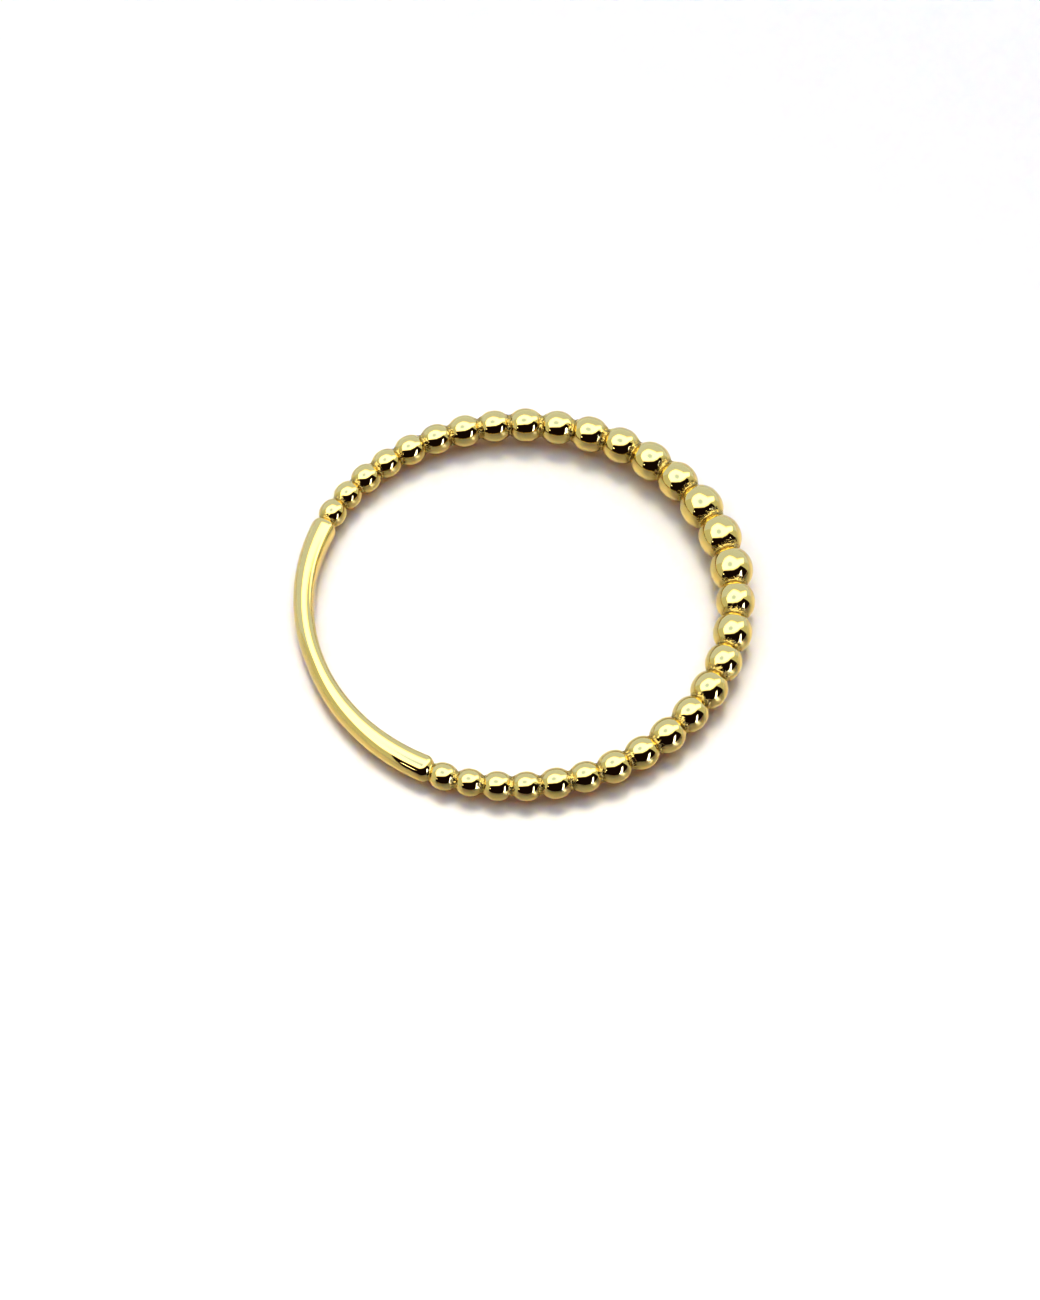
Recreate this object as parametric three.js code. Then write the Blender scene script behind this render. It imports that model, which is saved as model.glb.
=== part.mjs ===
// Graduated ball ring: polished gold balls soldered in a row round the finger, growing from
// each end of the row to the front, and closed at the back by a plain band of oval wire.
// Soldered metal is one solid, so one closed skin runs round the ring over the balls, the
// solder necks between them and the band. Each of its cross sections lies in a plane through
// the finger's axis, where a ball's section is a circle. Seen from the side a ball is a little
// fuller than a circle, so that neighbours meet in a narrow crease.
// Millimetres, +Z up. The ring lies on its side: the large balls are at +X, the band at -X.
import * as THREE from 'three';

// Row of balls
const CENTRE_RADIUS = 9.4;      // circle that runs through the centre of every ball
const BALL_COUNT = 31;
const LARGE_BALL = 1.86;        // diameter at the front
const SMALL_BALL = 1.2;         // diameter at both ends of the row
const BALLS_PER_SIZE = 2;       // on each side the size steps down at every second ball
const SIZE_CURVE = 0.7;         // under 1, so the sizes fall fastest near the front
const SPACING = 0.958;          // distance between neighbours over the sum of their radii
const NECK = 0.62;              // width of a solder neck over that of the smaller ball
const BALL_FULLNESS = 2.15;     // exponent of a ball's outline: 2 is an ellipse, above 2 a barrel
const BALL_LENGTH = 1.04;       // length of a ball along the row over its width

// Plain band, measured from the centre circle
const BAND_OUTER_END = 0.55;    // outward, where it meets the balls
const BAND_OUTER_MIDDLE = 0.2;  // outward, at the back of the ring
const BAND_INNER = 0.59;        // inward, towards the finger
const BAND_HALF_WIDTH = 0.56;   // along the finger
const BAND_TAPER = 1.25;        // how the outside draws in towards the back
const SHOULDER = 0.5;           // length of the rounded end beside the last ball
const BAND_TOUCH = 0.76;        // that end closes this far from the last ball's centre, over its radius
const OUTSIDE_ROUNDNESS = 2;    // exponent of a superellipse: 2 is an ellipse
const INSIDE_ROUNDNESS = 3;     // above 2, flatter against the finger

// Facets
const FACETS_AROUND = 16;
const STEPS_ALONG_BALL = 6;
const STEPS_ALONG_SHOULDER = 3;
const STEPS_ALONG_BAND = 32;

const middle = (BALL_COUNT - 1) / 2;
const sizeSteps = Math.floor(middle / BALLS_PER_SIZE);

function ballRadius(index) {
  const step = Math.floor(Math.abs(index - middle) / BALLS_PER_SIZE);
  const share = (step / sizeSteps) ** SIZE_CURVE;
  return (LARGE_BALL - (LARGE_BALL - SMALL_BALL) * share) / 2;
}

// Angles of the balls round the ring, from the first to the last, the middle one at 0.
function ballAngles() {
  const angles = [0];
  for (let index = 1; index < BALL_COUNT; index += 1) {
    const chord = SPACING * (ballRadius(index - 1) + ballRadius(index));
    angles.push(angles[index - 1] + 2 * Math.asin(chord / (2 * CENTRE_RADIUS)));
  }
  const half = angles[BALL_COUNT - 1] / 2;
  return angles.map((angle) => angle - half);
}

const angles = ballAngles();
const endRadius = ballRadius(0);

// Radius of the solder neck on one side of a ball. The row's last neck joins the band.
function neckRadius(index, side) {
  const neighbour = index + side;
  const last = neighbour < 0 || neighbour >= BALL_COUNT;
  return NECK * (last ? endRadius : Math.min(ballRadius(index), ballRadius(neighbour)));
}

// Cosine or sine drawn out towards a rectangle's side as roundness grows above 2.
function squared(value, roundness) {
  return Math.sign(value) * Math.abs(value) ** (2 / roundness);
}

// Sections over one ball, from the neck before it to the neck after it. Equal steps of turn
// follow the ball's outline evenly, and at last its cosine has come down to the neck.
function ballSections(index) {
  const radius = ballRadius(index);
  const turnTo = (neck) => Math.acos((neck / radius) ** (BALL_FULLNESS / 2));
  const first = -turnTo(neckRadius(index, -1));
  const last = turnTo(neckRadius(index, 1));
  const sections = [];
  for (let step = 0; step <= STEPS_ALONG_BALL; step += 1) {
    const turn = first + ((last - first) * step) / STEPS_ALONG_BALL;
    const along = BALL_LENGTH * radius * squared(Math.sin(turn), BALL_FULLNESS);
    const offset = Math.asin(along / CENTRE_RADIUS);
    const reach = radius * squared(Math.cos(turn), BALL_FULLNESS);
    sections.push({
      angle: angles[index] + offset,
      centre: CENTRE_RADIUS * Math.cos(offset),
      across: reach,
      halfWidth: reach,
      insideRoundness: 2,
    });
  }
  return sections;
}

// The band's rounded end would close to a point here, inside the last ball.
const bandStart = angles[BALL_COUNT - 1] + (BAND_TOUCH * endRadius) / CENTRE_RADIUS;

// A section of the band at an angle, shrunk by scale towards the middle of its thickness.
function bandSection(angle, scale) {
  const fromMiddle = Math.abs(angle - Math.PI) / (Math.PI - bandStart);
  const drawn = (BAND_OUTER_END - BAND_OUTER_MIDDLE) * fromMiddle ** BAND_TAPER;
  const outer = BAND_OUTER_MIDDLE + drawn;
  return {
    angle,
    centre: CENTRE_RADIUS + (outer - BAND_INNER) / 2,
    across: (scale * (outer + BAND_INNER)) / 2,
    halfWidth: scale * BAND_HALF_WIDTH,
    insideRoundness: INSIDE_ROUNDNESS,
  };
}

// Sections of the rounded end after the last ball, growing from the neck's width.
function shoulderSections() {
  const first = Math.asin((2 * NECK * endRadius) / (BAND_OUTER_END + BAND_INNER));
  const sections = [];
  for (let step = 0; step < STEPS_ALONG_SHOULDER; step += 1) {
    const turn = first + ((Math.PI / 2 - first) * step) / STEPS_ALONG_SHOULDER;
    const along = SHOULDER * (1 - Math.cos(turn));
    sections.push(bandSection(bandStart + along / CENTRE_RADIUS, Math.sin(turn)));
  }
  return sections;
}

function bandSections() {
  const shoulder = shoulderSections();
  const first = bandStart + SHOULDER / CENTRE_RADIUS;
  const span = 2 * (Math.PI - first);
  const sections = [...shoulder];
  for (let step = 0; step <= STEPS_ALONG_BAND; step += 1) {
    sections.push(bandSection(first + (span * step) / STEPS_ALONG_BAND, 1));
  }
  for (const section of shoulder.reverse()) {
    sections.push({ ...section, angle: 2 * Math.PI - section.angle });
  }
  return sections;
}

// Points round one section, starting on the outside of the ring and going over the top.
function sectionPoints({ angle, centre, across, halfWidth, insideRoundness }) {
  const points = [];
  for (let facet = 0; facet < FACETS_AROUND; facet += 1) {
    const turn = (2 * Math.PI * facet) / FACETS_AROUND;
    const roundness = Math.cos(turn) > 0 ? OUTSIDE_ROUNDNESS : insideRoundness;
    const up = squared(Math.sin(turn), roundness) * halfWidth;
    const reach = centre + squared(Math.cos(turn), roundness) * across;
    points.push(new THREE.Vector3(reach * Math.cos(angle), reach * Math.sin(angle), up));
  }
  return points;
}

// Skin over the sections, each joined to the next and the last one to the first.
function skin(sections) {
  const count = sections.length * FACETS_AROUND;
  const triangles = [];
  for (let row = 0; row < count; row += FACETS_AROUND) {
    const nextRow = (row + FACETS_AROUND) % count;
    for (let facet = 0; facet < FACETS_AROUND; facet += 1) {
      const nextFacet = (facet + 1) % FACETS_AROUND;
      triangles.push(row + facet, nextRow + facet, nextRow + nextFacet);
      triangles.push(row + facet, nextRow + nextFacet, row + nextFacet);
    }
  }
  const geometry = new THREE.BufferGeometry();
  geometry.setFromPoints(sections.flatMap(sectionPoints));
  geometry.setIndex(triangles);
  geometry.computeVertexNormals();
  return geometry;
}

const row = angles.flatMap((angle, index) => ballSections(index));
const gold = new THREE.MeshStandardMaterial({ color: '#e2bf63', roughness: 0.08, metalness: 1 });
const ring = new THREE.Mesh(skin([...row, ...bandSections()]), gold);
ring.name = 'ball_ring';

// The large balls beside the middle one and the two end balls carry the ring, and the front
// is lifted by the difference in their radii.
const frontAngle = angles[middle + 1];
const restLength = CENTRE_RADIUS * (Math.cos(frontAngle) - Math.cos(angles[0]));
const lying = new THREE.Group();
lying.rotation.y = -Math.asin((ballRadius(middle + 1) - endRadius) / restLength);
lying.add(ring);

// The origin is at the middle of the ring's outline, on the surface that it lies on.
const outline = new THREE.Box3().setFromObject(lying, true);
const centre = outline.getCenter(new THREE.Vector3());
lying.position.set(-centre.x, -centre.y, -outline.min.z);

const part = new THREE.Group();
part.add(lying);
export default part;
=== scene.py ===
# %% [markdown]
# # A graduated ball ring in polished gold
#
# The real ring is made of gold: a row of balls, each soldered to the next, that grows towards
# the front of the finger and is closed at the back by a plain band. This lesson makes it as one
# closed skin with Geometry Nodes, gives it a polished gold, and lights it the way small
# jewellery is lit, where almost all that the eye sees is the room mirrored in the metal.
#
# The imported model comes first. It is the fixed frame: it says where the ring lies and how large
# it is, and everything below is placed by it.

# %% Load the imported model
import math

import bmesh
import bpy
from mathutils import Matrix, Vector


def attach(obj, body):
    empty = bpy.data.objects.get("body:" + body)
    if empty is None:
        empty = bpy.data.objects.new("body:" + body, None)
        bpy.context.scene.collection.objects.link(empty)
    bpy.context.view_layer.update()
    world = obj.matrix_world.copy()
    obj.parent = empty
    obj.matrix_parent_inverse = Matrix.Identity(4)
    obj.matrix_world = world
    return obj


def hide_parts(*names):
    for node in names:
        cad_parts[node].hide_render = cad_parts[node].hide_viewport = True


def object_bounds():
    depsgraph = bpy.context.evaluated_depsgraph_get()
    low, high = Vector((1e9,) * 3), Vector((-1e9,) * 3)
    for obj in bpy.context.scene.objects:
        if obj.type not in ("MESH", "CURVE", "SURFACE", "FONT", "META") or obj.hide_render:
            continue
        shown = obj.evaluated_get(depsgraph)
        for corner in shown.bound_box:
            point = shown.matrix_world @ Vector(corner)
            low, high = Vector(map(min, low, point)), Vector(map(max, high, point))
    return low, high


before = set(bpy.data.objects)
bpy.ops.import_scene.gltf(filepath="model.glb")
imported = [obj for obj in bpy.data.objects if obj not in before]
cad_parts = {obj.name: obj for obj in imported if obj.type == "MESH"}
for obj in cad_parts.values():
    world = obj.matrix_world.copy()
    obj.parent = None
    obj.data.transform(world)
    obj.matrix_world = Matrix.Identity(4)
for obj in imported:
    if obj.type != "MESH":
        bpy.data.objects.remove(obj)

RING_NODE = "ball_ring"
MM = 0.001                      # metres in a millimetre
cad_low, cad_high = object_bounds()
seat = Vector(((cad_low.x + cad_high.x) / 2, (cad_low.y + cad_high.y) / 2, cad_low.z))
print("CAD box, mm:", [round(side / MM, 2) for side in cad_high - cad_low])

# %% [markdown]
# ## The row of balls
#
# A goldsmith would choose the balls first. They step down in size at every second ball on each
# side, fastest near the front, and each one reaches a little way into its neighbour, where the
# solder holds. So the sizes follow from the largest and the smallest ball, and the places
# follow from the sizes. Python is the plain way to work out such a list. The list then goes to
# Geometry Nodes as a mesh of loose points that carry their ball's size.

# %% Sizes of the balls, in millimetres
CENTRE_RADIUS = 9.4             # circle that runs through the centre of every ball
BALL_COUNT = 31
LARGE_BALL = 1.86               # diameter at the front
SMALL_BALL = 1.2                # diameter at both ends of the row
BALLS_PER_SIZE = 2              # on each side the size steps down at every second ball
SIZE_CURVE = 0.7                # under 1, so the sizes fall fastest near the front
SPACING = 0.958                 # distance between neighbours over the sum of their radii
NECK = 0.62                     # width of a solder neck over that of the smaller ball
BALL_FULLNESS = 2.15            # exponent of a ball's outline: 2 is an ellipse, above 2 a barrel
BALL_LENGTH = 1.04              # length of a ball along the row over its width

MIDDLE_BALL = (BALL_COUNT - 1) // 2
SIZE_STEPS = MIDDLE_BALL // BALLS_PER_SIZE


def ball_radius(index):
    step = abs(index - MIDDLE_BALL) // BALLS_PER_SIZE
    share = (step / SIZE_STEPS) ** SIZE_CURVE
    return (LARGE_BALL - (LARGE_BALL - SMALL_BALL) * share) / 2


def ball_angles():
    """Angles of the balls round the ring, from the first to the last, the middle one at 0."""
    angles = [0.0]
    for index in range(1, BALL_COUNT):
        chord = SPACING * (ball_radius(index - 1) + ball_radius(index))
        angles.append(angles[-1] + 2 * math.asin(chord / (2 * CENTRE_RADIUS)))
    return [angle - angles[-1] / 2 for angle in angles]


radii = [ball_radius(index) for index in range(BALL_COUNT)]
angles = ball_angles()
print("ball diameters from the front, mm:", [round(2 * r, 2) for r in radii[MIDDLE_BALL:]])
print("the row spans", round(math.degrees(2 * angles[-1]), 1), "degrees of the ring")

# %% Ball centres as loose points that carry their ball's size
SIZE_NAME = "ball_radius"
ANGLE_NAME = "ball_angle"


def ball_points():
    centres = [
        (CENTRE_RADIUS * math.cos(angle), CENTRE_RADIUS * math.sin(angle), 0.0)
        for angle in angles
    ]
    mesh = bpy.data.meshes.new("ball_centres")
    mesh.from_pydata(centres, [], [])
    mesh.attributes.new(SIZE_NAME, "FLOAT", "POINT").data.foreach_set("value", radii)
    mesh.attributes.new(ANGLE_NAME, "FLOAT", "POINT").data.foreach_set("value", angles)
    return mesh


centres = ball_points()
print(len(centres.vertices), "ball centres")

# %% [markdown]
# ## One skin for balls, solder and band
#
# The ring could be put together from spheres, cylinders and a bent band, joined by booleans.
# That leaves a hard crease at every solder joint, and on a mirror finish every crease and every
# stray sliver shows. Instead, one closed tube is wrapped round the whole ring, and each of its
# points is moved to where the metal's surface is. A section through the finger's axis cuts a
# ball in a circle, and where two shapes meet, a soft maximum of their sizes rounds the corner
# as flowing solder does.
#
# First a small function that adds a node, with its settings and its links.

# %% Helper: add one node
NODE_WIDTH = 180                # nodes stand this far apart in the editor
MATH = "ShaderNodeMath"
VECTOR_MATH = "ShaderNodeVectorMath"


def shown_socket(sockets, key):
    """The socket with that place or name, among those that the node's settings leave in use."""
    shown = [socket for socket in sockets if socket.enabled]
    return shown[key] if isinstance(key, int) else next(s for s in shown if s.name == key)


def add_node(tree, kind, inputs=(), **settings):
    """Adds a node. Each input is a value, a socket, or a node that gives its first output."""
    node = tree.nodes.new(kind)
    node.location.x = NODE_WIDTH * len(tree.nodes)
    for name, value in settings.items():
        setattr(node, name, value)
    pairs = inputs.items() if isinstance(inputs, dict) else enumerate(inputs)
    for key, value in pairs:
        target = shown_socket(node.inputs, key)
        source = shown_socket(value.outputs, 0) if isinstance(value, bpy.types.Node) else value
        if isinstance(source, bpy.types.NodeSocket):
            tree.links.new(source, target)
        else:
            target.default_value = source
    return node


def new_node_group(name, inputs, outputs):
    """A Geometry Nodes tree whose sockets are given as name: (type, starting value)."""
    tree = bpy.data.node_groups.new(name, "GeometryNodeTree")
    for side, sockets in (("INPUT", inputs), ("OUTPUT", outputs)):
        for label, (kind, start) in sockets.items():
            socket = tree.interface.new_socket(label, in_out=side, socket_type="NodeSocket" + kind)
            if start is not None:
                socket.default_value = start
    return tree


# %% [markdown]
# A ball as the ring's sections see it. At some angle away from the ball's centre, the section
# is a circle. Its radius is what is left of the ball's radius there, and its centre has dropped
# a little towards the finger's axis. Tumbled and pressed together, the balls are no longer true
# spheres. Along the row each one is a little longer and fuller than a circle, so neighbours
# meet in a narrow crease. A superellipse draws that: its powers are a little above a circle's 2.

# %% Node group: section of a ball
def make_ball_section():
    tree = new_node_group(
        "Section of a ball",
        {
            "Away": ("Float", 0.0),
            "Ball radius": ("Float", 1.0),
            "Centre radius": ("Float", CENTRE_RADIUS),
            "Ball fullness": ("Float", BALL_FULLNESS),
            "Ball length": ("Float", BALL_LENGTH),
        },
        {"Reach": ("Float", None), "Drop": ("Float", None)},
    )
    given = add_node(tree, "NodeGroupInput").outputs
    fullness = given["Ball fullness"]
    sine = add_node(tree, MATH, (given["Away"],), operation="SINE")
    aside = add_node(tree, MATH, (sine, given["Centre radius"]), operation="MULTIPLY")
    distance = add_node(tree, MATH, (aside,), operation="ABSOLUTE")
    shrunk = add_node(tree, MATH, (distance, given["Ball length"]), operation="DIVIDE")
    taken = add_node(tree, MATH, (shrunk, fullness), operation="POWER")
    whole = add_node(tree, MATH, (given["Ball radius"], fullness), operation="POWER")
    left = add_node(tree, MATH, (whole, taken), operation="SUBTRACT")
    inside = add_node(tree, MATH, (left, 0.0), operation="MAXIMUM")
    root = add_node(tree, MATH, (1.0, fullness), operation="DIVIDE")
    reach = add_node(tree, MATH, (inside, root), operation="POWER")
    cosine = add_node(tree, MATH, (given["Away"],), operation="COSINE")
    lost = add_node(tree, MATH, (1.0, cosine), operation="SUBTRACT")
    drop = add_node(tree, MATH, (lost, given["Centre radius"]), operation="MULTIPLY")
    add_node(tree, "NodeGroupOutput", {"Reach": reach, "Drop": drop})
    return tree


ball_section = make_ball_section()
print(ball_section.name, "has", len(ball_section.nodes), "nodes")

# %% [markdown]
# The band as the sections see it: half its thickness, half its width along the finger, and how
# far the middle of its thickness lies outward of the centre circle. Its rounded end grows like a
# quarter of a circle out of the last solder neck, and its outside draws in towards the back of
# the ring, where the goldsmith files a band thin so that it bends and sits well. That rounded
# end would close to a point inside the last ball, so the two touch with hardly any gap.

# %% Sizes of the band, in millimetres
BAND_OUTER_END = 0.55           # outward from the centre circle, where it meets the balls
BAND_OUTER_MIDDLE = 0.2         # outward, at the back of the ring
BAND_INNER = 0.59               # inward, towards the finger
BAND_HALF_WIDTH = 0.56          # along the finger
BAND_TAPER = 1.25               # how the outside draws in towards the back
SHOULDER = 0.5                  # length of the rounded end beside the last ball
BAND_TOUCH = 0.76               # where that end would close, over the last ball's radius

band_start = angles[-1] + BAND_TOUCH * radii[-1] / CENTRE_RADIUS

BAND_SIZES = {
    "Centre radius": ("Float", CENTRE_RADIUS),
    "Band start": ("Float", band_start),
    "Shoulder": ("Float", SHOULDER),
    "Outer at ends": ("Float", BAND_OUTER_END),
    "Outer at middle": ("Float", BAND_OUTER_MIDDLE),
    "Inner": ("Float", BAND_INNER),
    "Half width": ("Float", BAND_HALF_WIDTH),
    "Taper": ("Float", BAND_TAPER),
}
print("the band starts", round(math.degrees(band_start), 1), "degrees from the front ball")

# %% Node group: section of the band
def make_band_section():
    tree = new_node_group(
        "Section of the band",
        {"Turn": ("Float", 0.0), **BAND_SIZES},
        {"Reach": ("Vector", None), "Shift": ("Float", None)},
    )
    given = add_node(tree, "NodeGroupInput").outputs
    turn = add_node(tree, MATH, (given["Turn"],), operation="ABSOLUTE")
    past = add_node(tree, MATH, (turn, given["Band start"]), operation="SUBTRACT")
    along = add_node(tree, MATH, (past, given["Centre radius"]), operation="MULTIPLY")
    grown = add_node(
        tree, MATH, (along, given["Shoulder"]), operation="DIVIDE", use_clamp=True
    )
    # A quarter of a circle is the root of grown x (2 - grown)
    rest = add_node(tree, MATH, (2.0, grown), operation="SUBTRACT")
    quarter = add_node(tree, MATH, (grown, rest), operation="MULTIPLY")
    scale = add_node(tree, MATH, (quarter,), operation="SQRT")
    from_middle = add_node(
        tree,
        "ShaderNodeMapRange",
        {
            "Value": turn,
            "From Min": math.pi,
            "From Max": given["Band start"],
            "To Min": 0.0,
            "To Max": 1.0,
        },
    )
    drawn = add_node(tree, MATH, (from_middle, given["Taper"]), operation="POWER")
    outer = add_node(
        tree,
        "ShaderNodeMapRange",
        {
            "Value": drawn,
            "To Min": given["Outer at middle"],
            "To Max": given["Outer at ends"],
        },
    )
    thickness = add_node(tree, MATH, (outer, given["Inner"]), operation="ADD")
    half = add_node(tree, MATH, (thickness, 2.0), operation="DIVIDE")
    full = add_node(tree, "ShaderNodeCombineXYZ", (half, given["Half width"], 0.0))
    reach = add_node(tree, VECTOR_MATH, {"Vector": full, "Scale": scale}, operation="SCALE")
    shift = add_node(tree, MATH, (half, given["Inner"]), operation="SUBTRACT")
    add_node(tree, "NodeGroupOutput", {"Reach": reach, "Shift": shift})
    return tree


band_section = make_band_section()
print(band_section.name, "has", len(band_section.nodes), "nodes")

# %% [markdown]
# One point of a section. The outline is a superellipse: an ellipse whose cosine and sine are
# drawn out by a power, which fills its corners. The inside of the band is a little fuller than
# an ellipse, so that it sits flat and soft on the finger.

# %% Node group: point of a section
CIRCLE_ROUNDNESS = 2.0          # exponent of a superellipse: 2 is a circle or an ellipse
OUTSIDE_ROUNDNESS = 2.0
INSIDE_ROUNDNESS = 3.0          # above 2, flatter against the finger


def make_section_point():
    tree = new_node_group(
        "Point of a section",
        {
            "Around": ("Float", 0.0),
            "Turn": ("Float", 0.0),
            "Centre distance": ("Float", CENTRE_RADIUS),
            "Reach": ("Vector", None),
            "Outside roundness": ("Float", OUTSIDE_ROUNDNESS),
            "Inside roundness": ("Float", INSIDE_ROUNDNESS),
        },
        {"Position": ("Vector", None)},
    )
    given = add_node(tree, "NodeGroupInput").outputs
    reach = add_node(tree, "ShaderNodeSeparateXYZ", (given["Reach"],)).outputs
    cosine = add_node(tree, MATH, (given["Around"],), operation="COSINE")
    sine = add_node(tree, MATH, (given["Around"],), operation="SINE")
    outside = add_node(tree, MATH, (cosine, 0.0), operation="GREATER_THAN")
    roundness = add_node(
        tree,
        "GeometryNodeSwitch",
        {
            "Switch": outside,
            "False": given["Inside roundness"],
            "True": given["Outside roundness"],
        },
        input_type="FLOAT",
    )
    power = add_node(tree, MATH, (CIRCLE_ROUNDNESS, roundness), operation="DIVIDE")
    drawn = []
    for wave, size in ((cosine, reach["X"]), (sine, reach["Y"])):
        sign = add_node(tree, MATH, (wave,), operation="SIGN")
        height = add_node(tree, MATH, (wave,), operation="ABSOLUTE")
        filled = add_node(tree, MATH, (height, power), operation="POWER")
        signed = add_node(tree, MATH, (filled, sign), operation="MULTIPLY")
        drawn.append(add_node(tree, MATH, (signed, size), operation="MULTIPLY"))
    across, up = drawn
    out = add_node(tree, MATH, (given["Centre distance"], across), operation="ADD")
    flat = add_node(tree, "ShaderNodeCombineXYZ", (out, 0.0, up))
    position = add_node(
        tree,
        "ShaderNodeVectorRotate",
        {"Vector": flat, "Angle": given["Turn"]},
        rotation_type="Z_AXIS",
    )
    add_node(tree, "NodeGroupOutput", {"Position": position})
    return tree


section_point = make_section_point()
print(section_point.name, "has", len(section_point.nodes), "nodes")

# %% [markdown]
# The whole ring. A circle swept along a circle makes a closed tube with no seam, and each point
# of it remembers how far round the ring and how far round the section it is. The nearest ball,
# its neighbour on that side, the solder neck between them and the band each say how far they
# reach. Their soft maximum is the p-norm: raise each reach to a high power, add them up and
# take the root. The largest one wins almost alone, and two like ones round off together.
#
# Every size is an input of the tree, so that it can be changed in a modifier as well. The lean
# comes from the balls: the ring lies on its large ones at the front and on its two end ones,
# so the front is lifted by the difference in their radii.

# %% Inputs of the ring's skin
SECTIONS = 1344                 # sections round the ring, about 0.044 mm apart
FACETS = 72                     # points round a section
FILLET = 11.0                   # power of the soft maximum: lower makes rounder solder joints
WOBBLE = 0.006                  # height of the polishing wobble, mm
WOBBLE_SIZE = 0.9               # its length along the surface, mm
CRUMB = 0.15                    # height of the solder's crumbs from deepest to highest, mm
CRUMB_SIZE = 0.17               # their length along the surface, mm
JOINT_EDGE = 0.75               # a joint begins where the neck's share of the reach is this
JOINT_FULL = 0.96               # and is all solder from here on

front_radius = radii[MIDDLE_BALL + 1]
front_x = CENTRE_RADIUS * math.cos(angles[MIDDLE_BALL + 1])
end_x = CENTRE_RADIUS * math.cos(angles[0])
lean = math.asin((front_radius - radii[0]) / (front_x - end_x))

SKIN_SIZES = {
    "Sections": ("Int", SECTIONS),
    "Facets": ("Int", FACETS),
    "Smallest ball radius": ("Float", SMALL_BALL / 2),
    "Neck": ("Float", NECK),
    "Fillet": ("Float", FILLET),
    "Ball fullness": ("Float", BALL_FULLNESS),
    "Ball length": ("Float", BALL_LENGTH),
    **BAND_SIZES,
    "Outside roundness": ("Float", OUTSIDE_ROUNDNESS),
    "Inside roundness": ("Float", INSIDE_ROUNDNESS),
    "Wobble": ("Float", WOBBLE),
    "Wobble size": ("Float", WOBBLE_SIZE),
    "Crumb": ("Float", CRUMB),
    "Crumb size": ("Float", CRUMB_SIZE),
    "Joint edge": ("Float", JOINT_EDGE),
    "Joint full": ("Float", JOINT_FULL),
    "Lean": ("Vector", (0.0, -lean, 0.0)),
    "Metres per millimetre": ("Float", MM),
    "Seat": ("Vector", seat),
    "Gold": ("Material", None),
}

ring_skin = new_node_group(
    "Ball ring skin",
    {"Ball centres": ("Geometry", None), **SKIN_SIZES},
    {"Ring": ("Geometry", None)},
)
given = add_node(ring_skin, "NodeGroupInput").outputs
print("the front is lifted by", round(math.degrees(lean), 2), "degrees")

# %% [markdown]
# The tube. Curve to Mesh sweeps the small circle along the large one, and Capture Attribute
# notes each point's angle while it is still a point of a circle. The faces come out pointing
# inwards, so they are flipped here, before anything is pushed out along their normals.

# %% A closed tube whose points know their place
def marked_circle(points, angle):
    """A circle, and the angle that each of its points remembers."""
    circle = add_node(ring_skin, "GeometryNodeCurvePrimitiveCircle", {"Resolution": points})
    marked = add_node(ring_skin, "GeometryNodeCaptureAttribute", (circle,))
    marked.capture_items.new("FLOAT", "angle")
    ring_skin.links.new(angle.outputs[0], marked.inputs["angle"])
    return marked.outputs["Geometry"], marked.outputs["angle"]


whole = add_node(ring_skin, "GeometryNodeSplineParameter").outputs["Factor"]
ring_angle = add_node(
    ring_skin, "ShaderNodeMapRange", {"Value": whole, "To Min": -math.pi, "To Max": math.pi}
)
section_angle = add_node(ring_skin, "ShaderNodeMapRange", {"Value": whole, "To Max": math.tau})
path, turn = marked_circle(given["Sections"], ring_angle)
profile, around = marked_circle(given["Facets"], section_angle)
inside_out = add_node(ring_skin, "GeometryNodeCurveToMesh", (path, profile))
tube = add_node(ring_skin, "GeometryNodeFlipFaces", {"Mesh": inside_out})
print("the tube has", SECTIONS * FACETS, "points")

# %% [markdown]
# The balls near a section. Sample Nearest finds the nearest centre. The section lies on one
# side of it, and the neighbour on that side is the only other ball that can reach it. Past the
# ends of the row there is none, and Sample Index then answers with a ball of no size.

# %% The nearest ball and its neighbour
def ball_facts(index):
    """The angle and the radius of the ball with this index. Both are 0 past the row's ends."""
    facts = []
    for name in (ANGLE_NAME, SIZE_NAME):
        value = add_node(
            ring_skin, "GeometryNodeInputNamedAttribute", (name,), data_type="FLOAT"
        )
        facts.append(
            add_node(
                ring_skin,
                "GeometryNodeSampleIndex",
                {"Geometry": given["Ball centres"], "Value": value, "Index": index},
                data_type="FLOAT",
                domain="POINT",
            )
        )
    return facts


spoke = add_node(ring_skin, "ShaderNodeCombineXYZ", (given["Centre radius"], 0.0, 0.0))
on_circle = add_node(
    ring_skin, "ShaderNodeVectorRotate", {"Vector": spoke, "Angle": turn}, rotation_type="Z_AXIS"
)
nearest = add_node(
    ring_skin, "GeometryNodeSampleNearest", (given["Ball centres"], on_circle), domain="POINT"
)
near_angle, near_radius = ball_facts(nearest)
near_away = add_node(ring_skin, MATH, (turn, near_angle), operation="SUBTRACT")
beyond = add_node(ring_skin, MATH, (near_away, 0.0), operation="GREATER_THAN")
to_side = add_node(ring_skin, MATH, (beyond, 2.0, -1.0), operation="MULTIPLY_ADD")  # 1 or -1
neighbour = add_node(ring_skin, MATH, (nearest, to_side), operation="ADD")
next_angle, next_radius = ball_facts(neighbour)
next_away = add_node(ring_skin, MATH, (turn, next_angle), operation="SUBTRACT")
print("the tube and its balls:", len(ring_skin.nodes), "nodes")

# %% [markdown]
# What the two balls reach, raised to the fillet's power. A ball also lowers the middle of its
# section a little. That counts with the same power, so it fades in and out with the ball.

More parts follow.
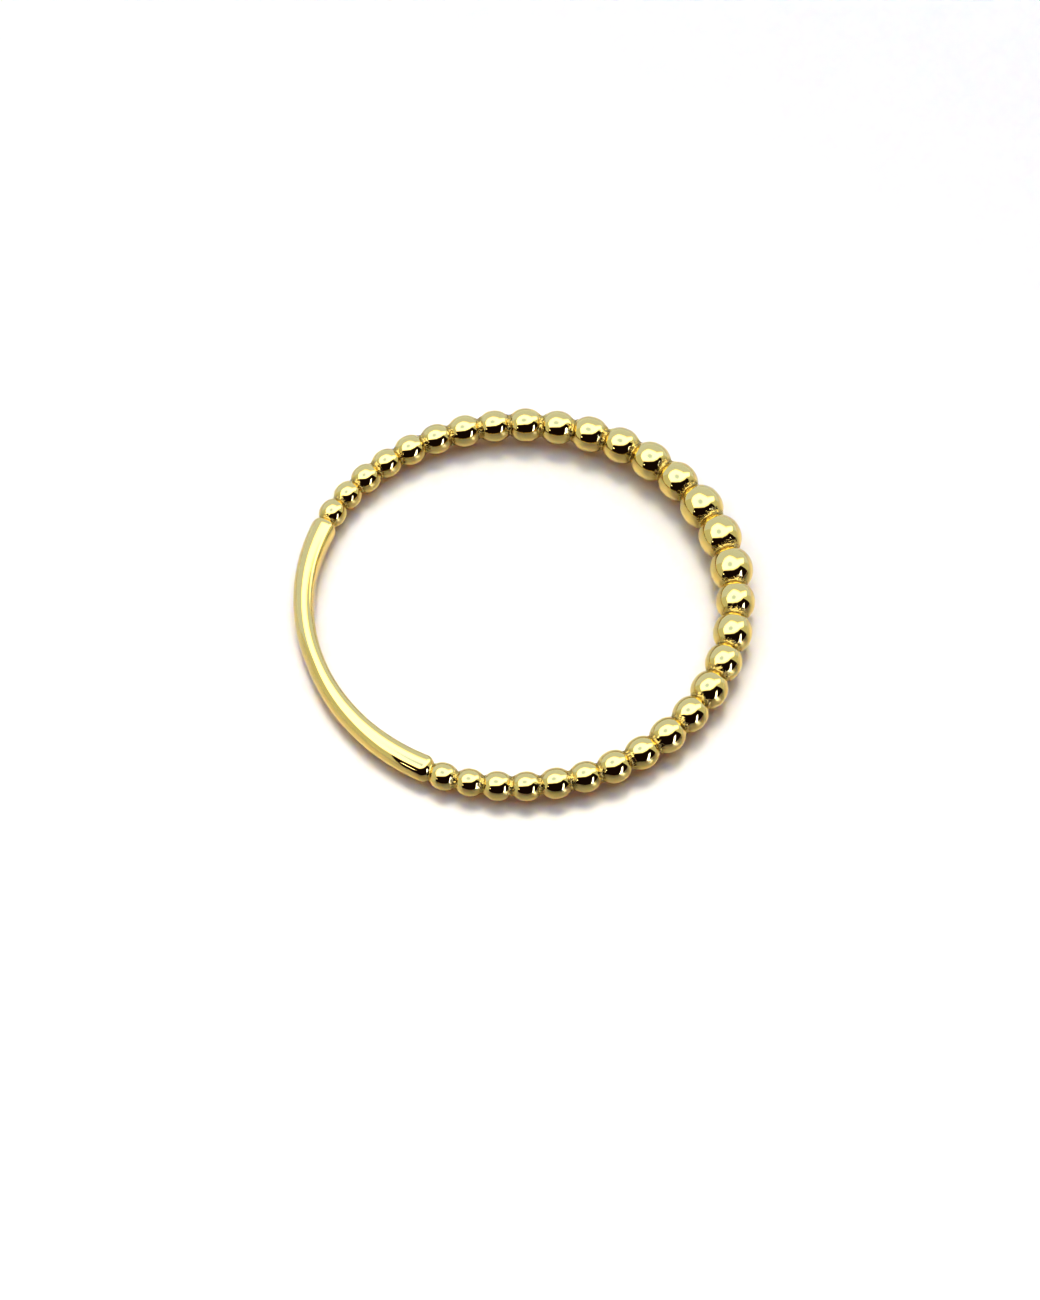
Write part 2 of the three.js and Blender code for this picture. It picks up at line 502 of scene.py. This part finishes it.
# %% Reach of the balls
powers = []
drops = []
for away, radius in ((near_away, near_radius), (next_away, next_radius)):
    ball = add_node(
        ring_skin,
        "GeometryNodeGroup",
        {
            "Away": away,
            "Ball radius": radius,
            "Centre radius": given["Centre radius"],
            "Ball fullness": given["Ball fullness"],
            "Ball length": given["Ball length"],
        },
        node_tree=ball_section,
    ).outputs
    power = add_node(ring_skin, MATH, (ball["Reach"], given["Fillet"]), operation="POWER")
    powers.append(power)
    drops.append(add_node(ring_skin, MATH, (power, ball["Drop"]), operation="MULTIPLY"))
ball_power = add_node(ring_skin, MATH, powers, operation="ADD")
dropped = add_node(ring_skin, MATH, drops, operation="ADD")
print(len(powers), "balls at a time, raised to the power", FILLET)

# %% [markdown]
# The solder is a rod that runs through the whole row. It is thinner than the balls, so it
# shows only in the joints. Beside the last ball it fades out, where the band's rounded end
# takes over.

# %% Reach of the solder neck
smaller = add_node(ring_skin, MATH, (near_radius, next_radius), operation="MINIMUM")
kept = add_node(ring_skin, MATH, (smaller, given["Smallest ball radius"]), operation="MAXIMUM")
neck = add_node(ring_skin, MATH, (kept, given["Neck"]), operation="MULTIPLY")
far = add_node(ring_skin, MATH, (turn,), operation="ABSOLUTE")
past = add_node(ring_skin, MATH, (far, given["Band start"]), operation="SUBTRACT")
along = add_node(ring_skin, MATH, (past, given["Centre radius"]), operation="MULTIPLY")
fade = add_node(
    ring_skin,
    "ShaderNodeMapRange",
    {"Value": along, "From Max": given["Shoulder"], "To Min": 1.0, "To Max": 0.0},
    interpolation_type="SMOOTHSTEP",
)
neck_left = add_node(ring_skin, MATH, (neck, fade), operation="MULTIPLY")
neck_power = add_node(ring_skin, MATH, (neck_left, given["Fillet"]), operation="POWER")
thinnest, thickest = (round(NECK * ball, 2) for ball in (SMALL_BALL, LARGE_BALL))
print("necks are", thinnest, "to", thickest, "mm thick")

# %% [markdown]
# The band, and the soft maximum of them all. A section of the band isn't round: its reach is a
# vector, across its thickness and along the finger, and so is the sum.

# %% Soft maximum of balls, necks and band
band = add_node(
    ring_skin,
    "GeometryNodeGroup",
    {"Turn": turn, **{name: given[name] for name in BAND_SIZES}},
    node_tree=band_section,
).outputs
band_power = add_node(ring_skin, VECTOR_MATH, (band["Reach"], given["Fillet"]), operation="POWER")
round_power = add_node(ring_skin, MATH, (ball_power, neck_power), operation="ADD")
total = add_node(ring_skin, VECTOR_MATH, (band_power, round_power), operation="ADD")
root = add_node(ring_skin, MATH, (1.0, given["Fillet"]), operation="DIVIDE")
reach = add_node(ring_skin, VECTOR_MATH, (total, root), operation="POWER")
gain = 2 ** (1 / FILLET)
print("where two like shapes meet, the metal stands", round(100 * gain - 100), "% further out")

# %% [markdown]
# The powers also say how much of a section is band, and how much of it is solder. The first
# turns a ball's round section into the band's. The second says where the crumbs and pits go.

# %% Shares of band and solder
band_across = add_node(ring_skin, "ShaderNodeSeparateXYZ", (band_power,)).outputs["X"]
all_across = add_node(ring_skin, "ShaderNodeSeparateXYZ", (total,)).outputs["X"]
band_share = add_node(ring_skin, MATH, (band_across, all_across), operation="DIVIDE")
reach_across = add_node(ring_skin, "ShaderNodeSeparateXYZ", (reach,)).outputs["X"]
neck_share = add_node(ring_skin, MATH, (neck_left, reach_across), operation="DIVIDE")
solder_share = add_node(
    ring_skin,
    "ShaderNodeMapRange",
    {"Value": neck_share, "From Min": given["Joint edge"], "From Max": given["Joint full"]},
    interpolation_type="SMOOTHSTEP",
)
print("balls, necks and band:", len(ring_skin.nodes), "nodes")

# %% [markdown]
# Now each point of the tube goes to its place, and keeps its share of solder as an attribute
# that the crumbs and the finish read.

# %% Points to their places
SOLDER_NAME = "solder"

mean_drop = add_node(ring_skin, MATH, (dropped, all_across), operation="DIVIDE")
lowered = add_node(ring_skin, MATH, (given["Centre radius"], mean_drop), operation="SUBTRACT")
centre_distance = add_node(
    ring_skin, MATH, (band["Shift"], band_share, lowered), operation="MULTIPLY_ADD"
)
roundness = {
    name: add_node(
        ring_skin,
        "ShaderNodeMapRange",
        {"Value": band_share, "To Min": CIRCLE_ROUNDNESS, "To Max": given[name]},
    )
    for name in ("Outside roundness", "Inside roundness")
}
position = add_node(
    ring_skin,
    "GeometryNodeGroup",
    {
        "Around": around,
        "Turn": turn,
        "Centre distance": centre_distance,
        "Reach": reach,
        **roundness,
    },
    node_tree=section_point,
)
shaped = add_node(ring_skin, "GeometryNodeSetPosition", {"Geometry": tube, "Position": position})
marked = add_node(
    ring_skin,
    "GeometryNodeStoreNamedAttribute",
    {"Geometry": shaped, "Name": SOLDER_NAME, "Value": solder_share},
    data_type="FLOAT",
    domain="POINT",
)
print("each point keeps its share of", SOLDER_NAME)

# %% [markdown]
# Polishing by hand on a wheel never leaves a perfect surface, so a few thousandths of a
# millimetre of slow wobble are pushed into it. They are too small to see as shape, but they
# make the reflections swim as they do on real gold. The wheel does not get down into the
# joints, so there the solder keeps its crumbs, which are real bumps in the mesh and not only
# a trick of the finish: they break the reflections up into small bright specks.

# %% Wobble and crumbs
NOISE_MIDDLE = 0.5              # a noise texture's mean
WOBBLE_DETAIL = 1.0
CRUMB_DETAIL = 2.0


def swell(size, detail):
    """A noise of that size along the surface, as much below zero as above."""
    fineness = add_node(ring_skin, MATH, (1.0, size), operation="DIVIDE")
    waves = add_node(ring_skin, "ShaderNodeTexNoise", {"Scale": fineness, "Detail": detail})
    return add_node(ring_skin, MATH, (waves, NOISE_MIDDLE), operation="SUBTRACT")


slow = swell(given["Wobble size"], WOBBLE_DETAIL)
wobble = add_node(ring_skin, MATH, (slow, given["Wobble"]), operation="MULTIPLY")
crumbs = swell(given["Crumb size"], CRUMB_DETAIL)
in_joints = add_node(ring_skin, MATH, (crumbs, solder_share), operation="MULTIPLY")
height = add_node(
    ring_skin, MATH, (in_joints, given["Crumb"], wobble), operation="MULTIPLY_ADD"
)
normal = add_node(ring_skin, "GeometryNodeInputNormal")
push = add_node(ring_skin, VECTOR_MATH, {"Vector": normal, "Scale": height}, operation="SCALE")
worn = add_node(ring_skin, "GeometryNodeSetPosition", {"Geometry": marked, "Offset": push})
print("wobble", WOBBLE, "mm high, crumbs", CRUMB, "mm")

# %% [markdown]
# Last, the ring is laid down. Tilted by its lean and turned from millimetres into metres, it is
# moved so that the middle of its outline is over the seat and its lowest point is on it.

# %% Laid on its seat
HALF_OF_BOTH = (0.5, 0.5, 0.0)          # of two corners' sum: the middle, with no height
HEIGHT_ALONE = (0.0, 0.0, 1.0)

lying = add_node(
    ring_skin,
    "GeometryNodeTransform",
    {"Geometry": worn, "Rotation": given["Lean"], "Scale": given["Metres per millimetre"]},
)
outline = add_node(ring_skin, "GeometryNodeBoundBox", (lying,)).outputs
both = add_node(ring_skin, VECTOR_MATH, (outline["Min"], outline["Max"]), operation="ADD")
middle = add_node(ring_skin, VECTOR_MATH, (both, HALF_OF_BOTH), operation="MULTIPLY")
foot = add_node(
    ring_skin, VECTOR_MATH, (outline["Min"], HEIGHT_ALONE, middle), operation="MULTIPLY_ADD"
)
shift = add_node(ring_skin, VECTOR_MATH, (given["Seat"], foot), operation="SUBTRACT")
seated = add_node(ring_skin, "GeometryNodeTransform", {"Geometry": lying, "Translation": shift})
smooth = add_node(ring_skin, "GeometryNodeSetShadeSmooth", (seated,))
solid = add_node(ring_skin, "GeometryNodeRealizeInstances", (smooth,))
gilded = add_node(
    ring_skin, "GeometryNodeSetMaterial", {"Geometry": solid, "Material": given["Gold"]}
)
add_node(ring_skin, "NodeGroupOutput", (gilded,))
print(ring_skin.name, "has", len(ring_skin.nodes), "nodes")

# %% [markdown]
# ## Polished gold
#
# The metal is 14 or 18 carat yellow gold, cast, tumbled and then buffed to a mirror. A metal has
# no colour of its own apart from what it mirrors: its base colour is the share of red, green and
# blue that it gives back. Gold keeps nearly all of the red and loses much of the blue, and each
# further bounce between two balls makes it deeper, up to orange in the solder joints.
#
# What the eye gets from the buffing is a clear but not quite perfect mirror: hair-fine lines
# that all but vanish, and joints that the wheel does not reach, where the solder stays duller,
# a little warmer and full of fine pits. There the colour is also painted a little darker, as
# painted shade in the creases between the balls. The share of solder that the skin carries as
# an attribute says where that is, so the finish follows the shape with no map to paint.
#
# First the helpers. Colours are written as hex values, as a colour picker shows them, and one
# function turns them into the linear light that shaders reckon in.

# %% Colour and shader helpers
SRGB_KNEE = 0.04045             # below this the sRGB curve is a straight line
SRGB_SLOPE = 12.92              # of that line
SRGB_OFFSET = 0.055             # above it the curve is a power of the value with this added
SRGB_POWER = 2.4


def decoded(value):
    """One channel of an sRGB colour in linear light."""
    if value <= SRGB_KNEE:
        return value / SRGB_SLOPE
    return ((value + SRGB_OFFSET) / (1 + SRGB_OFFSET)) ** SRGB_POWER


def linear(hex_colour):
    """An sRGB hex value as the linear colour that shaders use."""
    channels = [int(hex_colour[place : place + 2], 16) / 255 for place in (1, 3, 5)]
    return (*(decoded(channel) for channel in channels), 1.0)


def new_material(name):
    """A material and its tree, which is still empty."""
    material = bpy.data.materials.new(name)
    material.use_nodes = True
    material.node_tree.nodes.clear()
    return material, material.node_tree


print("mid grey #808080 in linear light:", round(linear("#808080")[0], 3))

# %% [markdown]
# The lines and the pits are far too fine for the mesh, so each is a noise that goes through a
# Bump node, which bends the reflections as a real dent would. The noise reads Object
# coordinates, so it stays where it is in the metal.

# %% Buffing lines
BUFFING_LINE = 0.06             # mm; real lines are 0.01 apart, drawn coarser so that they show
BUFFING_DEPTH = 0.0003          # mm
BUFFING_DETAIL = 3.0
BUFFING_SHARPNESS = 0.6


def buffing_lines(tree, place):
    """Normals with hair-fine lines in them."""
    lines = add_node(
        tree,
        "ShaderNodeTexNoise",
        {
            "Vector": place,
            "Scale": 1 / (BUFFING_LINE * MM),
            "Detail": BUFFING_DETAIL,
            "Roughness": BUFFING_SHARPNESS,
        },
    )
    return add_node(
        tree, "ShaderNodeBump", {"Height": lines, "Strength": 1.0, "Distance": BUFFING_DEPTH * MM}
    )


print("buffing lines", BUFFING_LINE, "mm apart and", BUFFING_DEPTH, "mm deep")

# %% Pits in the joints
PIT_SIZE = 0.1                  # mm; real pits are 0.03 across, drawn coarser so that they show
PIT_DEPTH = 0.05                # mm
PIT_DETAIL = 2.0


def joint_pits(tree, place, joint, buffed):
    """The buffed normals with pits added where there is solder."""
    grain = add_node(
        tree,
        "ShaderNodeTexNoise",
        {"Vector": place, "Scale": 1 / (PIT_SIZE * MM), "Detail": PIT_DETAIL},
    )
    level = add_node(tree, MATH, (grain, NOISE_MIDDLE), operation="SUBTRACT")
    pits = add_node(tree, MATH, (level, joint), operation="MULTIPLY")
    return add_node(
        tree,
        "ShaderNodeBump",
        {"Height": pits, "Strength": 1.0, "Distance": PIT_DEPTH * MM, "Normal": buffed},
    )


print("pits", PIT_SIZE, "mm across and up to", PIT_DEPTH, "mm deep")

# %% Polished yellow gold
# To the eye it is a clear, warm mirror on the balls, and duller and redder in the joints, where
# a darker colour is painted shade.
GOLD = "#e6d497"                # the buffed surface
# The joints' colour: redder, and darker as painted shade in the creases.
SOLDER_GOLD_AND_SHADE = "#cdb878"         # the joints, a little darker and redder
BUFFED_ROUGHNESS = 0.04
SOLDER_ROUGHNESS = 0.18


def make_polished_gold():
    material, tree = new_material("polished_yellow_gold")
    place = add_node(tree, "ShaderNodeTexCoord").outputs["Object"]
    joint = add_node(tree, "ShaderNodeAttribute", attribute_name=SOLDER_NAME).outputs["Fac"]
    # Towards the solder the colour turns redder and darker; the darkening is painted shade.
    colour = add_node(
        tree,
        "ShaderNodeMix",
        {"Factor": joint, "A": linear(GOLD), "B": linear(SOLDER_GOLD_AND_SHADE)},
        data_type="RGBA",
    )
    dull = add_node(
        tree,
        "ShaderNodeMapRange",
        {"Value": joint, "To Min": BUFFED_ROUGHNESS, "To Max": SOLDER_ROUGHNESS},
    )
    normal = joint_pits(tree, place, joint, buffing_lines(tree, place))
    metal = add_node(
        tree,
        "ShaderNodeBsdfPrincipled",
        {"Base Color": colour, "Metallic": 1.0, "Roughness": dull, "Normal": normal},
    )
    add_node(tree, "ShaderNodeOutputMaterial", {"Surface": metal})
    return material


polished_gold = make_polished_gold()
print(polished_gold.name, "has", len(polished_gold.node_tree.nodes), "nodes")

# %% [markdown]
# ## The ring itself
#
# The loose points get the skin as a modifier. Its inputs are set by their identifiers, before
# the modifier first runs, and then the result is kept as a plain mesh. It could stay a live
# modifier.

# %% Run the tree and keep its mesh
RING_NAME = "gold_ball_ring"


def make_ring():
    ring = bpy.data.objects.new(RING_NAME, centres)
    bpy.context.scene.collection.objects.link(ring)
    modifier = ring.modifiers.new("Ball ring skin", "NODES")
    modifier.node_group = ring_skin
    for socket in ring_skin.interface.items_tree:
        if socket.in_out == "INPUT" and socket.name in SKIN_SIZES:
            value = SKIN_SIZES[socket.name][1]
            modifier[socket.identifier] = polished_gold if socket.name == "Gold" else value
    graph = bpy.context.evaluated_depsgraph_get()
    skin = bpy.data.meshes.new_from_object(ring.evaluated_get(graph), depsgraph=graph)
    ring.modifiers.clear()
    ring.data = skin
    return ring


ring = make_ring()
corners = [vertex.co for vertex in ring.data.vertices]
ring_low = Vector(min(corner[axis] for corner in corners) for axis in range(3))
ring_high = Vector(max(corner[axis] for corner in corners) for axis in range(3))
print("ring box, mm:", [round(side / MM, 3) for side in ring_high - ring_low])

# %% [markdown]
# A skin made from sections can come out with a gap, or inside out, and neither shows at once on
# a mirror. So two things are measured: every edge has to join exactly two faces, and the volume
# inside has to be positive, which it is only where the faces point outwards.

# %% Check the skin
def skin_facts(mesh):
    """Whether the skin is closed, and the volume inside it in cubic millimetres."""
    shape = bmesh.new()
    shape.from_mesh(mesh)
    closed = all(edge.is_manifold for edge in shape.edges)
    volume = shape.calc_volume(signed=True) / MM**3
    shape.free()
    return closed, volume


closed, volume = skin_facts(ring.data)
print("closed:", closed, "and holds", round(volume, 2), "cubic mm of gold")
print("triangles:", sum(len(face.vertices) - 2 for face in ring.data.polygons))

# %% [markdown]
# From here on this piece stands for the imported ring. Nothing on a ring moves, so it rides on
# the part's only body.

# %% Say what the ring stands for
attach(ring, "root")
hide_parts(RING_NODE)
print(ring.name, "stands for", RING_NODE, "and rides on root")

# %% [markdown]
# ## Studio
#
# Small jewellery is shown on white under one large soft light overhead, with the room dark
# behind the camera. In a mirror finish each of these is a shape that can be pointed at: the
# light is the bright field on top of every ball, the dark room is the black band under it, and
# a slim lit gap beside the camera is the white stroke in the black.
#
# The stage is laid out as one stands at the table: x to the right, y away, z up, in millimetres.
#
# The camera comes first. It looks down at about 56 degrees from 18 centimetres away, with the
# band at the left and the large balls at the right. It could be pushed into place by hand, but
# two angles, a distance and a lens say plainly where it is, and can be changed one at a time.

# %% Where the camera stands
CAMERA_AZIMUTH = math.radians(-20.16)   # from -Y, negative towards -X
CAMERA_ELEVATION = math.radians(56.43)
CAMERA_DISTANCE = 177.2                 # mm
CAMERA_LENS = 113.5                     # mm
RING_CENTRE = (-0.365, 0.0, 0.73)       # middle of the circle of balls, mm from the seat
AIM_RIGHT = 0.091                       # mm; the ring sits a little above the frame's middle
AIM_UP = -2.12
CLIP_START = 0.01                       # m
CLIP_END = 5.0


def make_camera():
    toward = Vector(
        (
            math.sin(CAMERA_AZIMUTH) * math.cos(CAMERA_ELEVATION),
            -math.cos(CAMERA_AZIMUTH) * math.cos(CAMERA_ELEVATION),
            math.sin(CAMERA_ELEVATION),
        )
    )
    turn = (-toward).to_track_quat("-Z", "Y")
    aside = turn @ Vector((AIM_RIGHT, AIM_UP, 0.0))
    aim = seat + (Vector(RING_CENTRE) + aside) * MM
    camera = bpy.data.objects.new("camera", bpy.data.cameras.new("camera"))
    bpy.context.scene.collection.objects.link(camera)
    camera.location = aim + toward * CAMERA_DISTANCE * MM
    camera.rotation_euler = turn.to_euler()
    camera.data.lens = CAMERA_LENS
    camera.data.clip_start = CLIP_START
    camera.data.clip_end = CLIP_END
    bpy.context.scene.camera = camera
    return camera


camera = make_camera()
print("camera at, mm:", [round(value / MM, 1) for value in camera.location])

# %% [markdown]
# ## Cards
#
# Everything that lights the ring is a card, a plain surface that glows. Area lights would light
# the floor just as well, but in a mirror they show as hard rectangles, and a card can have any
# outline. Cards that stand round the ring are bent to a circle about it, so that two angles say
# where one shows in the metal. The camera itself sees none of them.

# %% Helpers for the stage
CARD_STEPS = 16
STAGE = Matrix.Translation(seat) @ Matrix.Rotation(CAMERA_AZIMUTH, 4, "Z")


def glowing(name, colour, strength):
    material, tree = new_material(name)
    light = add_node(tree, "ShaderNodeEmission", {"Color": linear(colour), "Strength": strength})
    add_node(tree, "ShaderNodeOutputMaterial", {"Surface": light})
    return material


def place_on_stage(name, points, faces, material):
    """A stage object from points in the stage's own millimetres."""
    mesh = bpy.data.meshes.new(name)
    mesh.from_pydata([Vector(point) * MM for point in points], [], faces)
    mesh.transform(STAGE)
    mesh.materials.append(material)
    made = bpy.data.objects.new(name, mesh)
    bpy.context.scene.collection.objects.link(made)
    return made


def bent_card(name, low_edge, high_edge, elevations, distance, material):
    """A card bent round the ring. Its low and its high edge each run from one azimuth to
    another in degrees, where 0 is toward the camera and positive is to the right."""
    points = []
    for step in range(CARD_STEPS + 1):
        for (start, end), elevation in zip((low_edge, high_edge), elevations):
            azimuth = math.radians(start + (end - start) * step / CARD_STEPS)
            height = distance * math.tan(math.radians(elevation))
            points.append((distance * math.sin(azimuth), -distance * math.cos(azimuth), height))
    faces = [(2 * step, 2 * step + 1, 2 * step + 3, 2 * step + 2) for step in range(CARD_STEPS)]
    card = place_on_stage(name, points, faces, material)
    card.visible_camera = False
    return card


print("the stage is turned", round(math.degrees(CAMERA_AZIMUTH), 1), "degrees to face the camera")

# %% [markdown]
# ## Floor
#
# The ring lies on a sheet of white opal acrylic with a satin gloss. To the eye that is three
# things. Light enters the sheet and comes out a few millimetres on, red light farthest, which
# warms the shadow beside the ring. A faint pearly shine lies in the sheet. And the clear coat on
# top mirrors a little of the dark room at the low angles at which the balls see the floor, so
# that the black band in each ball fades out and doesn't end in a hard line. The coat is rough
# enough that from low down the room shows in it as a soft glow, with no hard shapes.

# %% White opal acrylic
FLOOR_SIDE = 3000               # mm
SHEET_WHITE = "#e8e6e4"
SHEET_ROUGHNESS = 0.3
SHEET_IOR = 1.8                 # above acrylic's 1.49, for the mineral that makes it white
SHEET_DEPTH = 3.0               # mm that red light travels in the sheet
SHEET_TRAVEL = (1.0, 0.45, 0.06)        # the same for red, green and blue, as shares of it
PEARL = "#e2d0b0"
PEARL_SHARE = 0.28
COAT_WEIGHT = 0.6
COAT_ROUGHNESS = 0.2            # satin


def make_opal_acrylic():
    material, tree = new_material("white_opal_acrylic")
    coat = {"Coat Weight": COAT_WEIGHT, "Coat Roughness": COAT_ROUGHNESS}
    opal = add_node(
        tree,
        "ShaderNodeBsdfPrincipled",
        {
            "Base Color": linear(SHEET_WHITE),
            "Roughness": SHEET_ROUGHNESS,
            "IOR": SHEET_IOR,
            "Subsurface Weight": 1.0,
            "Subsurface Scale": SHEET_DEPTH * MM,
            "Subsurface Radius": SHEET_TRAVEL,
            **coat,
        },
        subsurface_method="BURLEY",
    )
    pearl = add_node(
        tree,
        "ShaderNodeBsdfPrincipled",
        {
            "Base Color": linear(PEARL),
            "Roughness": SHEET_ROUGHNESS,
            "Metallic": 1.0,
            **coat,
        },
    )
    sheet = add_node(tree, "ShaderNodeMixShader", (PEARL_SHARE, opal, pearl))
    add_node(tree, "ShaderNodeOutputMaterial", {"Surface": sheet})
    return material


def make_floor():
    half = FLOOR_SIDE / 2
    corners = [(-half, -half, 0), (half, -half, 0), (half, half, 0), (-half, half, 0)]
    return place_on_stage("floor", corners, [(0, 1, 2, 3)], make_opal_acrylic())


floor = make_floor()
print(floor.name, "is", FLOOR_SIDE, "mm wide, of", floor.data.materials[0].name)

# %% [markdown]
# ## The light overhead
#
# One large soft light hangs 20 centimetres over the ring: a broad panel of cloth with an arm
# that reaches away to the right. Its outline is what the eye reads on top of every ball, so it
# is drawn corner by corner. Each corner is given as a share of the height, which fixes its
# direction as the ring sees it, whatever the height. The cloth dims towards its hem, and a rim
# that fades out round the outline gives the reflection its soft edge. A small round hatch near
# the middle, for the camera, is a little dimmer and bluer.

# %% Panels with a soft rim
GLOW_NAME = "glow"


def glowing_softly(name, colour, middle, rim):
    """Light whose strength goes from the rim's to the middle's with the glow attribute."""
    material, tree = new_material(name)
    glow = add_node(tree, "ShaderNodeAttribute", attribute_name=GLOW_NAME).outputs["Fac"]
    strength = add_node(
        tree,
        "ShaderNodeMapRange",
        {"Value": glow, "To Min": rim, "To Max": middle},
        interpolation_type="SMOOTHSTEP",
    )
    light = add_node(tree, "ShaderNodeEmission", {"Color": linear(colour), "Strength": strength})
    add_node(tree, "ShaderNodeOutputMaterial", {"Surface": light})
    return material


def grown(corners, width):
    """The corners of an outline that goes round the given one at this distance."""
    made = []
    for index, corner in enumerate(corners):
        before = Vector(corner) - Vector(corners[index - 1])
        after = Vector(corners[(index + 1) % len(corners)]) - Vector(corner)
        sides = [Vector((edge.y, -edge.x)).normalized() for edge in (before, after)]
        outward = (sides[0] + sides[1]) / (1 + sides[0].dot(sides[1]))
        made.append(Vector(corner) + outward * width)
    return made


def soft_panel(name, corners, rim, height, material):
    """A level panel. Its corners and its rim are given as shares of its height."""
    count = len(corners)
    outline = [*corners, *grown(corners, rim)]
    points = [(x * height, y * height, height) for x, y in outline]
    faces = [tuple(range(count))]
    for index in range(count):
        after = (index + 1) % count
        faces.append((index, after, count + after, count + index))
    panel = place_on_stage(name, points, faces, material)
    glow = [1.0] * count + [0.0] * count
    panel.data.attributes.new(GLOW_NAME, "FLOAT", "POINT").data.foreach_set("value", glow)
    panel.visible_camera = False
    return panel


# %% The light and its hatch
LIGHT_HEIGHT = 200              # mm
LIGHT_WHITE = "#ffffff"
LIGHT_STRENGTH = 2.5
LIGHT_RIM = 0.3
RIM_STRENGTH = 0.95             # that of the pale room, so that the light fades into it
LIGHT_CORNERS = (               # x and y as shares of the height
    (-1.2, -0.45),
    (-0.45, -0.42),
    (0.1, -0.36),
    (0.46, -0.14),
    (0.82, 0.24),
    (1.75, 0.77),
    (2.0, 1.5),
    (1.1, 0.75),
    (0.55, 0.36),
    (0.2, 0.5),
    (-0.2, 0.66),
    (-0.8, 0.45),
    (-1.2, 0.1),
)
HATCH_PLACE = -0.18             # left of the middle
HATCH_RADIUS = 0.1
HATCH_RIM = 0.24
HATCH_BLUE = "#c9dbff"
HATCH_STRENGTH = 1.7
HATCH_DROP = 10                 # mm that it hangs below the light
HATCH_SIDES = 24


def hatch_corners():
    turns = [math.tau * side / HATCH_SIDES for side in range(HATCH_SIDES)]
    return [
        (HATCH_PLACE + HATCH_RADIUS * math.cos(turn), HATCH_RADIUS * math.sin(turn))
        for turn in turns
    ]


white_cloth = glowing_softly("white_cloth", LIGHT_WHITE, LIGHT_STRENGTH, RIM_STRENGTH)
blue_cloth = glowing_softly("blue_cloth", HATCH_BLUE, HATCH_STRENGTH, LIGHT_STRENGTH)
light = soft_panel("light", LIGHT_CORNERS, LIGHT_RIM, LIGHT_HEIGHT, white_cloth)
hatch = soft_panel("hatch", hatch_corners(), HATCH_RIM, LIGHT_HEIGHT - HATCH_DROP, blue_cloth)
for panel in (light, hatch):
    print(panel.name, "is", round(panel.dimensions.x / MM), "mm wide")

# %% [markdown]
# ## The room
#
# The rest of the studio is pale and a little green. Behind the camera it is unlit, apart from a
# slim gap at the right that daylight falls through and a lamp far away at the left. The wall
# across the table is lit a little more than the others, and shows along the band and in the
# far side of each ball. The pale walls are the world's own background, and the others are
# bent cards in front of it.

# %% Walls, gap and lamp
ROOM_WHITE = "#f8feff"          # a little green
ROOM_STRENGTH = 0.93


def make_room():
    world = bpy.data.worlds.new("pale_room")
    world.use_nodes = True
    tree = world.node_tree
    tree.nodes.clear()
    walls = add_node(
        tree, "ShaderNodeBackground", {"Color": linear(ROOM_WHITE), "Strength": ROOM_STRENGTH}
    )
    add_node(tree, "ShaderNodeOutputWorld", {"Surface": walls})
    bpy.context.scene.world = world


make_room()

# Each card: colour, strength, azimuths of its low and high edge, elevations, distance in mm
CARDS = {
    "dark_room": ("#ffb8a0", 0.045, (-51, 88), (-74, 88), (0, 58), 620),
    "lit_gap": ("#cdd8ff", 4.4, (28, 44), (53, 70), (-4, 34), 590),
    "back_wall": ("#d3dfff", 1.42, (115, 250), (115, 250), (0, 52), 640),
    "far_lamp": ("#ffffff", 4.0, (-53, -47), (-53, -47), (17, 23), 590),
}
for name, (colour, strength, low_edge, high_edge, elevations, distance) in CARDS.items():
    bent_card(name, low_edge, high_edge, elevations, distance, glowing(name, colour, strength))
print(len(CARDS), "cards stand round the ring:", ", ".join(CARDS))

# %% [markdown]
# ## View
#
# The Standard view shows colours as they are, where a film-like view would turn the brightest
# gold grey. A gamma below 1 deepens the darks, which is the contrast that polished metal has
# under a studio light. Light may bounce eight times between the balls: after that gold has
# taken nearly all of the blue out of it, and more bounces no longer show.

# %% View and bounces
VIEW_GAMMA = 0.6
GLOSSY_BOUNCES = 8

view = bpy.context.scene.view_settings
view.view_transform = "Standard"
view.exposure = 0.0
view.gamma = VIEW_GAMMA
bpy.context.scene.cycles.glossy_bounces = GLOSSY_BOUNCES
print("view:", view.view_transform, "with gamma", round(view.gamma, 2))
